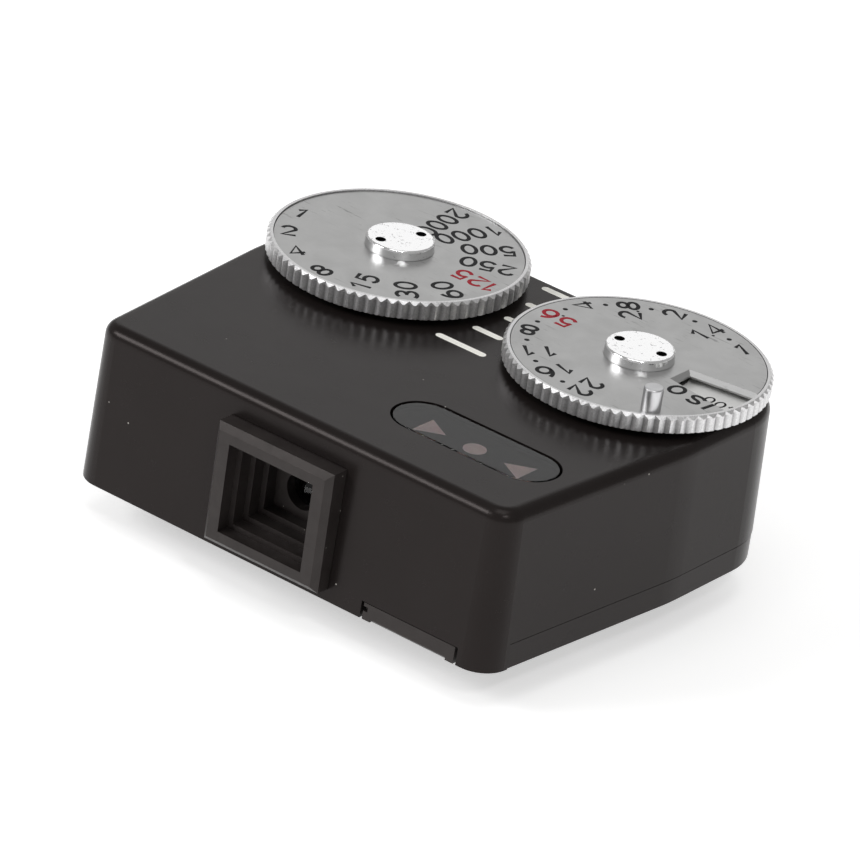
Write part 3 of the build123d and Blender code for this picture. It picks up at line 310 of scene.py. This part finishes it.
def glassy(name, tint, rough=0.02, glare=1.0, shade_painted_from=None):
    """Clear or smoked glass; glare below 1 is an anti-reflection treatment.

    Side walls above the height that the last argument gives, in metres, are painted black, as
    painted shade of the dark groove round the window.
    """
    s = Shader(name)
    s.set(Transmission_Weight=1.0, IOR=1.49, Roughness=rough)
    s.set(Specular_Tint=(glare, glare, glare, 1.0))
    cloud = s.noise(s.place(), scale=0.8, detail=3.0)
    tone = s.mix(s.ramp(cloud, 0.35, 0.7), tint, darker(tint, 0.92))
    # painted shade: black colour on the upper side walls
    if shade_painted_from is not None:
        facing = s.split(s.coordinates.outputs["Normal"])
        spot = s.split(s.coordinates.outputs["Object"])
        wall = s.math("LESS_THAN", s.math("ABSOLUTE", facing[2]), 0.5)
        above = s.math("GREATER_THAN", spot[2], shade_painted_from)
        tone = s.mix(s.math("MULTIPLY", wall, above), tone, (0.0, 0.0, 0.0))
    s.color(tone)
    s.bump((s.noise(s.place(), scale=2.0, detail=2.0), 0.0004))
    return s.material


def ink(name, base, worn, cover):
    """Printed paint with thin places."""
    s = Shader(name)
    s.set(Specular_IOR_Level=0.12)
    wear = s.noise(s.place(), scale=2.6, detail=5.0, rough=0.65)
    s.color(s.mix(s.ramp(wear, cover, cover + 0.22), base, worn))
    s.rough(s.ramp(s.noise(s.place(), scale=5.0), 0.3, 0.7, 0.42, 0.6))
    s.bump((s.noise(s.place(), scale=9.0), 0.003))
    return s.material


def circuit_board(name):
    """Green lacquer over faint copper lines."""
    s = Shader(name)
    lines = s.cells(0.7, "DISTANCE_TO_EDGE", 0.35)
    track = s.ramp(lines.outputs["Distance"], 0.05, 0.08, 1.0, 0.0)
    s.color(s.mix(track, (0.012, 0.09, 0.035), (0.03, 0.17, 0.06)))
    s.rough(s.ramp(s.noise(s.place(), scale=2.0), 0.3, 0.7, 0.28, 0.4))
    s.bump((track, 0.02))
    return s.material


def milky(name, base, edge):
    """Milky plastic of an unlit lamp or lamp symbol."""
    s = Shader(name)
    s.set(Specular_IOR_Level=0.35, Subsurface_Weight=0.2, Subsurface_Scale=0.0004)
    cloud = s.noise(s.place(), scale=1.1, detail=4.0, rough=0.6)
    s.color(s.mix(s.ramp(cloud, 0.35, 0.68), base, edge))
    s.rough(s.ramp(s.noise(s.place(), scale=3.0), 0.3, 0.7, 0.45, 0.6))
    s.bump((s.noise(s.place(), scale=8.0), 0.003))
    return s.material


# --- Materials of the nodes -------------------------------------------------

SHADED_EDGE_HEIGHT = 0.3  # height of the lamp window's side walls that are painted black as painted shade, in millimetres
DRIVER_HOLE_AT = 2.27  # from a face screw's centre to its driver holes, in millimetres
DRIVER_HOLE_R = 0.56
DRIVER_HOLE_ANGLES = {"shutter_face_screw": 68.5, "aperture_face_screw": 7.9}
BRIGHT = (0.96, 0.96, 0.965)


def centre_of(node):
    low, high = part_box(node)
    return (low + high) / 2


def top_of(node):
    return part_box(node)[1].z


def driver_holes(node, angle):
    """Place and radius of a face screw's two holes, in metres."""
    middle, top = centre_of(node), top_of(node)
    reach = DRIVER_HOLE_AT * MM
    return [
        (middle.x + reach * cos(turn), middle.y + reach * sin(turn), top, DRIVER_HOLE_R * MM)
        for turn in (radians(angle), radians(angle) + pi)
    ]


finishes = {
    "black_paint": paint(
        "black_lacquer",
        base=(0.0108, 0.0085, 0.0080),
        worn=(0.0126, 0.0101, 0.0096),
        rough=0.24,
        specular=0.17,
    ),
    "black_plastic": plastic(
        "black_moulding", (0.0170, 0.0140, 0.0132), 0.40, 0.34, 0.004, dust=0.12
    ),
    "knob_metal": metal("satin_aluminium", (0.52, 0.52, 0.518), (0.475, 0.475, 0.473), 0.36),
    "polished_metal": polished("bright_plating", BRIGHT, pits=0.7),
    "steel": metal("plain_steel", (0.46, 0.455, 0.45), (0.36, 0.355, 0.35), 0.32, (1, 6, 1)),
    "spring_metal": metal("spring_bronze", (0.62, 0.46, 0.24), (0.5, 0.36, 0.18), 0.3, (1, 5, 1)),
    "board_green": circuit_board("board_lacquer"),
    "chip_black": plastic("chip_moulding", (0.012, 0.012, 0.013), 0.55, 0.35, 0.006),
    "flex_amber": plastic("flex_film", (0.36, 0.15, 0.03), 0.25, 0.5, 0.001),
    "carbon": plastic("carbon_track", (0.012, 0.012, 0.014), 0.5, 0.4, 0.006),
    "mark_white": ink("white_filling", (0.95, 0.94, 0.88), (0.82, 0.80, 0.75), 0.55),
    "lamp_mask": plastic("mask_film", (0.017, 0.0135, 0.0135), 0.5, 0.2, 0.003),
    # the smoked window's upper side walls are painted black as painted shade
    "smoked_window": glassy(
        "smoked_acrylic",
        (0.78, 0.72, 0.725),
        rough=0.05,
        glare=0.18,
        shade_painted_from=top_of("lamp_window") - SHADED_EDGE_HEIGHT * MM,
    ),
    "lamp_lens": milky("milky_symbol", (0.84, 0.73, 0.71), (0.72, 0.62, 0.60)),
    "lamp": milky("lamp_chip", (0.62, 0.58, 0.42), (0.5, 0.46, 0.32)),
    "lens_glass": glassy("lens_glass", (0.70, 0.74, 0.78)),
    "filter_glass": glassy("filter_glass", (0.06, 0.12, 0.14)),
    "ceramic_white": plastic("fired_ceramic", (0.62, 0.60, 0.54), 0.6, 0.4, 0.006),
    "cell_steel": metal("cell_can", (0.66, 0.66, 0.65), (0.56, 0.56, 0.55), 0.22, (6, 1, 1)),
}
slots = {row["node"]: row["material_slot"] for row in frame["record"]["subparts"]}
for name, node in nodes.items():
    node.data.materials.clear()
    node.data.materials.append(finishes[slots[name]])
own_finishes = {
    "measure_button": polished("button_plating", (0.80, 0.80, 0.81), pits=0.25),
    "iso_peg": metal("peg_aluminium", (0.66, 0.66, 0.67), (0.55, 0.55, 0.56), 0.30),
}
for name, angle in DRIVER_HOLE_ANGLES.items():
    own_finishes[name] = polished(name + "_plating", BRIGHT, 0.75, driver_holes(name, angle))
for name in ("shutter_knob", "aperture_knob"):
    low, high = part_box(name)
    hub = ((low.x + high.x) / 2, (low.y + high.y) / 2, high.z)
    radius = (high.x - low.x) / 2 / MM
    own_finishes[name] = knurled(name + "_rim", (0.86, 0.855, 0.86), hub, radius)
for name, finish in own_finishes.items():
    nodes[name].data.materials[0] = finish

# --- Printed scales ---------------------------------------------------------
# Lengths in this section are in millimetres and angles in degrees, but a face is the place of
# a printed piece, in metres.

STROKE = 0.205  # half the width of a printed line
DOT_STROKE = 0.2
POINT_STROKE = 0.12
SPEED_STROKE = 0.11
INK_T = 0.012
CLICK = 24  # from one mark of a dial to the next
FIRST_R = 10.75  # radius of a label's outer figure
SHUTTER_PITCH = 1.93  # between a label's figures
APERTURE_PITCH = 2.1
LONG_LABEL_SHIFT = 0.32
RED_TIME = (("1", 11.1), ("2", 9.65), ("5", 7.75))  # figures and their radii
FIRST_STOP_AT = 276
DOT_AT, DOT_CORE = 10.65, 0.07  # radius of the row of dots, and of a dot's centre line
POINT_AT, POINT_ASIDE, POINT_CORE = 9.65, 0.85, 0.05
LETTERS = (("O", 6.64, -2.96), ("S", 9.0, -3.2), ("I", 10.56, -3.44))
LETTER_TURN, LETTER_SIZE = 173, 0.84
SPEEDS = ("3200", "1600", "800", "400", "200", "100", "50", "25")
SPEED_R, SPEED_PITCH, SPEED_SIZE = 11.0, 1.25, 0.62
RING_DEPTH = 1.25  # the printed ring's place below the aperture dial's face
RING_INNER, RING_OUTER, RING_T = 5.1, 12.15, 0.05


def arc(cx, cy, rx, ry, start, end, steps=14):
    """Points along part of an ellipse, between two angles."""
    turns = [radians(start + (end - start) * i / steps) for i in range(steps + 1)]
    return [(cx + rx * cos(t), cy + ry * sin(t)) for t in turns]


GLYPHS = {
    "0": [arc(0, 0, 0.67, 0.99, 90, 450, 32)],
    "1": [[(0.15, -0.99), (0.15, 0.99), (-0.46, 0.46)]],
    "2": [arc(0, 0.40, 0.64, 0.59, 168, -20) + [(-0.66, -0.99), (0.70, -0.99)]],
    "3": [arc(-0.05, 0.50, 0.60, 0.49, 150, -90) + arc(-0.05, -0.48, 0.70, 0.51, 90, -150)],
    "4": [[(0.36, -0.99), (0.36, 0.99), (-0.74, -0.46), (0.76, -0.46)]],
    "5": [[(0.62, 0.99), (-0.46, 0.99), (-0.56, 0.10)] + arc(0, -0.33, 0.68, 0.66, 138, -150)],
    "6": [arc(0, -0.34, 0.68, 0.65, 0, 360, 28), arc(0.52, -0.34, 1.20, 1.36, 180, 104)],
    "8": [arc(0, 0.50, 0.56, 0.49, 0, 360, 28), arc(0, -0.49, 0.72, 0.50, 0, 360, 28)],
    "I": [[(0, -0.99), (0, 0.99)]],
    "O": [arc(0, 0, 0.82, 0.99, 90, 450, 32)],
    "S": [arc(0, 0.50, 0.72, 0.49, 25, 270) + arc(0, -0.49, 0.80, 0.50, 90, -155)],
}


def tube_mesh(name, lines, half, material):
    """Round section of radius half swept along lines; a line is (points in metres, closed)."""
    data = bpy.data.curves.new(name, "CURVE")
    data.dimensions = "3D"
    data.bevel_depth = half
    data.bevel_resolution = 3
    data.use_fill_caps = True
    for points, closed in lines:
        spline = data.splines.new("POLY")
        spline.points.add(len(points) - 1)
        for point, spot in zip(spline.points, points):
            point.co = (*spot, 1)
        spline.use_cyclic_u = closed
    tube = bpy.data.objects.new(name, data)
    bpy.context.scene.collection.objects.link(tube)
    bpy.context.view_layer.update()
    evaluated = tube.evaluated_get(bpy.context.evaluated_depsgraph_get())
    mesh = bpy.data.meshes.new_from_object(evaluated)
    bpy.data.objects.remove(tube)
    mesh.materials.clear()
    mesh.materials.append(material)
    for polygon in mesh.polygons:
        polygon.use_smooth = True
    return mesh


def printed(name, strokes, face, body, print_ink, half=STROKE):
    """Strokes about the centre of a face become a thin layer of ink on it."""
    lines = []
    for points in strokes:
        closed = (Vector(points[0]) - Vector(points[-1])).length < 1e-4
        used = points[:-1] if closed else points
        lines.append(([(x * MM, y * MM, 0) for x, y in used], closed))
    material, slot = print_ink
    mesh = tube_mesh(name + "_line", lines, half * MM, material)
    mesh.transform(Matrix.Scale(INK_T / half, 4, (0, 0, 1)))
    piece = bpy.data.objects.new(name, mesh)
    piece.location = face
    bpy.context.scene.collection.objects.link(piece)
    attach(piece, body)


def glyph_strokes(glyph, spot, angle, size=1.0):
    """A glyph's strokes about a spot, turned by an angle."""
    turn = radians(angle)
    across, up = Vector((cos(turn), sin(turn))), Vector((-sin(turn), cos(turn)))
    spot = Vector(spot)
    return [[tuple(spot + size * (x * across + y * up)) for x, y in line] for line in GLYPHS[glyph]]


def on_dial(glyph, angle, radius, outward, size=1.0):
    """A figure's strokes on a dial, so that its label reads outward or towards the centre."""
    spot = radius * Vector((cos(radians(angle)), sin(radians(angle))))
    return glyph_strokes(glyph, spot, angle if outward else angle + 180, size)


def scale_strokes(labels, outward, first, pitch, size=1.0):
    """Strokes of a ring of labels, each (text, angle), the outer figure at the first radius.

    The long label 1000 starts a little further out.
    """
    strokes = []
    for text, angle in labels:
        start = first + (LONG_LABEL_SHIFT if text == "1000" else 0)
        for i, glyph in enumerate(text):
            place = len(text) - 1 - i if outward else i
            strokes += on_dial(glyph, angle, start - pitch * place, outward, size)
    return strokes


def flat_ring(name, face, inner, outer, thick, body, print_ink):
    """Thin printed ring with rounded rims, lying on a face."""
    shoulder = thick * 0.7
    profile = [(inner, 0), (inner, shoulder), (inner + thick, thick)]
    profile += [(outer - thick, thick), (outer, shoulder), (outer, 0)]
    around, width = 128, len(profile)
    points, faces = [], []
    for i in range(around):
        turn = 2 * pi * i / around
        points += [(r * MM * cos(turn), r * MM * sin(turn), h * MM) for r, h in profile]
    for i in range(around):
        here, there = i * width, (i + 1) % around * width
        for j in range(width):
            k = (j + 1) % width
            faces.append((here + j, there + j, there + k, here + k))
    material, slot = print_ink
    mesh = bpy.data.meshes.new(name)
    mesh.from_pydata(points, [], faces)
    mesh.materials.append(material)
    ring = bpy.data.objects.new(name, mesh)
    ring.location = face
    bpy.context.scene.collection.objects.link(ring)
    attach(ring, body)


black = (ink("black_print", (0.010, 0.010, 0.011), (0.05, 0.05, 0.05), 0.62), "carbon")
red = (ink("red_print", (0.33, 0.010, 0.022), (0.40, 0.10, 0.12), 0.55), "lamp_lens")
card = (ink("speed_card", (0.70, 0.70, 0.69), (0.60, 0.60, 0.59), 0.55), "mark_white")

shutter_face = centre_of("shutter_scale_plate")
shutter_face.z = top_of("shutter_scale_plate")
times = ("1", "2", "4", "8", "15", "30", "60", "", "250", "500", "1000", "2000")
red_place = times.index("")  # the gap is for the red 125
time_labels = [(text, CLICK * (i - red_place)) for i, text in enumerate(times)]
red_time = []
for figure, radius in RED_TIME:
    red_time += on_dial(figure, 0, radius, False)
time_strokes = scale_strokes(time_labels, False, FIRST_R, SHUTTER_PITCH)
printed("shutter_numerals", time_strokes, shutter_face, "shutter_dial", black)
printed("shutter_red_numeral", red_time, shutter_face, "shutter_dial", red)

aperture_face = centre_of("aperture_face_screw")
aperture_face.z = top_of("aperture_scale_plate")
stops = ("22", "16", "11", "8", "", "4", "28", "2", "14", "1")
red_place = stops.index("")  # the gap is for the red 5.6
stop_labels = [(text, FIRST_STOP_AT - CLICK * i) for i, text in enumerate(stops)]
stop_strokes = scale_strokes(stop_labels, True, FIRST_R, APERTURE_PITCH)
red_label = [("56", FIRST_STOP_AT - CLICK * red_place)]
red_stop = scale_strokes(red_label, True, FIRST_R, APERTURE_PITCH)
half_stops = []
for i in range(len(stops) - 1):
    turn = radians(FIRST_STOP_AT - CLICK * (i + 0.5))
    x, y = DOT_AT * cos(turn), DOT_AT * sin(turn)
    half_stops.append(arc(x, y, DOT_CORE, DOT_CORE, 0, 360, 10))
decimal_points = []
for i in (red_place, stops.index("28"), stops.index("14")):
    turn = radians(FIRST_STOP_AT - CLICK * i)
    x = POINT_AT * cos(turn) + POINT_ASIDE * sin(turn)
    y = POINT_AT * sin(turn) - POINT_ASIDE * cos(turn)
    decimal_points.append(arc(x, y, POINT_CORE, POINT_CORE, 0, 360, 8))
lettering = []
for letter, x, y in LETTERS:
    lettering += glyph_strokes(letter, (x, y), LETTER_TURN, LETTER_SIZE)
printed("aperture_numerals", stop_strokes, aperture_face, "iso_setting", black)
printed("aperture_red_numeral", red_stop, aperture_face, "iso_setting", red)
printed("aperture_dots", half_stops, aperture_face, "iso_setting", black, DOT_STROKE)
printed("aperture_points", decimal_points, aperture_face, "iso_setting", black, POINT_STROKE)
printed("speed_lettering", lettering, aperture_face, "iso_setting", black)

ring_face = aperture_face - Vector((0, 0, RING_DEPTH * MM))
speed_face = ring_face + Vector((0, 0, RING_T * MM))
shown = SPEEDS.index("400")  # the film speed in the window at rest
speed_labels = [(text, CLICK * (i - shown)) for i, text in enumerate(SPEEDS)]
speed_strokes = scale_strokes(speed_labels, False, SPEED_R, SPEED_PITCH, SPEED_SIZE)
flat_ring("speed_ring", ring_face, RING_INNER, RING_OUTER, RING_T, "aperture_dial", card)
printed("speed_numerals", speed_strokes, speed_face, "aperture_dial", black, SPEED_STROKE)

# --- Button spring ----------------------------------------------------------

COIL_TURNS = 3
COIL_STEPS = 32  # in one turn
WIRE_R = 0.12 * MM

spring_low, spring_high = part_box("button_spring")
middle = (spring_low + spring_high) / 2
room = spring_high.y - spring_low.y
coil_r = (spring_high.x - spring_low.x) / 2 - WIRE_R
count = COIL_STEPS * COIL_TURNS
coil = []
for i in range(count + 1):
    turn = 2 * pi * i / COIL_STEPS
    along = spring_low.y + WIRE_R + (room - 2 * WIRE_R) * i / count
    coil.append((middle.x + coil_r * cos(turn), along, middle.z + coil_r * sin(turn)))
spring_mesh = tube_mesh("button_coil_line", [(coil, False)], WIRE_R, finishes["steel"])
spring = bpy.data.objects.new("button_coil", spring_mesh)
bpy.context.scene.collection.objects.link(spring)
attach(spring, "base")
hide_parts("button_spring")
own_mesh(spring)

# --- Stage, light and camera ------------------------------------------------

FLOOR_REACH = 3.0
FLOOR_GAP = 0.0001  # below the part
FLOOR_GLOW = 0.62
SKY_GLOW = 0.36
LENS = 268.04
SENSOR = 36
AZIMUTH, ELEVATION, ROLL = radians(34.19), radians(26.22), radians(8.69)
DISTANCE = 604.4 * MM
TARGET = Vector((0.571, -1.120, 8.784)) * MM  # from the top case's lower edge

scene = bpy.context.scene
scene.view_settings.view_transform = "Standard"

floor_mesh = bpy.data.meshes.new("floor")
corners = [(-1, -1), (1, -1), (1, 1), (-1, 1)]
corners = [(x * FLOOR_REACH, y * FLOOR_REACH, 0) for x, y in corners]
floor_mesh.from_pydata(corners, [], [(0, 1, 2, 3)])
floor = bpy.data.objects.new("floor", floor_mesh)
floor.location.z = cad_box[0].z - FLOOR_GAP
scene.collection.objects.link(floor)
cloth = Shader("pale_backdrop")
cloth.set(Specular_IOR_Level=0.1, Roughness=0.9, Emission_Strength=FLOOR_GLOW)
cloud = cloth.ramp(cloth.noise(cloth.place(), scale=0.02, detail=2.0), 0.3, 0.7)
white = cloth.mix(cloud, (0.82, 0.82, 0.82), (0.85, 0.85, 0.85))
cloth.color(white)
cloth.link(white, cloth.surface.inputs["Emission Color"])
floor_mesh.materials.append(cloth.material)

world = bpy.data.worlds.new("studio")
world.use_nodes = True
sky = world.node_tree.nodes["Background"].inputs
sky["Color"].default_value = (1.0, 0.995, 0.985, 1)
sky["Strength"].default_value = SKY_GLOW
scene.world = world


def direction(azimuth, elevation):
    """Unit vector from the object towards an azimuth and elevation in radians."""
    flat = cos(elevation)
    return Vector((sin(azimuth) * flat, -cos(azimuth) * flat, sin(elevation)))


def softbox(name, azimuth, elevation, distance, size, power):
    """Rectangular area light that looks at the object from a given direction."""
    data = bpy.data.lights.new(name, "AREA")
    data.shape = "RECTANGLE"
    data.size, data.size_y = size
    data.energy = power
    lamp = bpy.data.objects.new(name, data)
    back = direction(radians(azimuth), radians(elevation))
    lamp.location = back * distance
    lamp.rotation_mode = "QUATERNION"
    lamp.rotation_quaternion = back.to_track_quat("Z", "Y")
    scene.collection.objects.link(lamp)


softbox("behind", azimuth=214, elevation=29, distance=1.0, size=(0.8, 0.45), power=0.70)
softbox("overhead", azimuth=20, elevation=80, distance=0.9, size=(0.5, 0.5), power=1.5)
softbox("key", azimuth=-42, elevation=34, distance=0.9, size=(0.42, 0.26), power=3.2)
softbox("fill", azimuth=52, elevation=46, distance=0.9, size=(0.11, 0.11), power=0.9)

back = direction(AZIMUTH, ELEVATION)
right = Vector((cos(AZIMUTH), sin(AZIMUTH), 0))
up = back.cross(right)
side = cos(ROLL) * right + sin(ROLL) * up
top = cos(ROLL) * up - sin(ROLL) * right
target = TARGET + Vector((0, 0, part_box("top_case")[0].z))
camera_data = bpy.data.cameras.new("camera")
camera_data.lens = LENS
camera_data.sensor_width = SENSOR
camera_data.clip_start = 0.01
camera = bpy.data.objects.new("camera", camera_data)
camera.matrix_world = Matrix(
    [
        (side.x, top.x, back.x, target.x + DISTANCE * back.x),
        (side.y, top.y, back.y, target.y + DISTANCE * back.y),
        (side.z, top.z, back.z, target.z + DISTANCE * back.z),
        (0, 0, 0, 1),
    ]
)
scene.collection.objects.link(camera)
scene.camera = camera
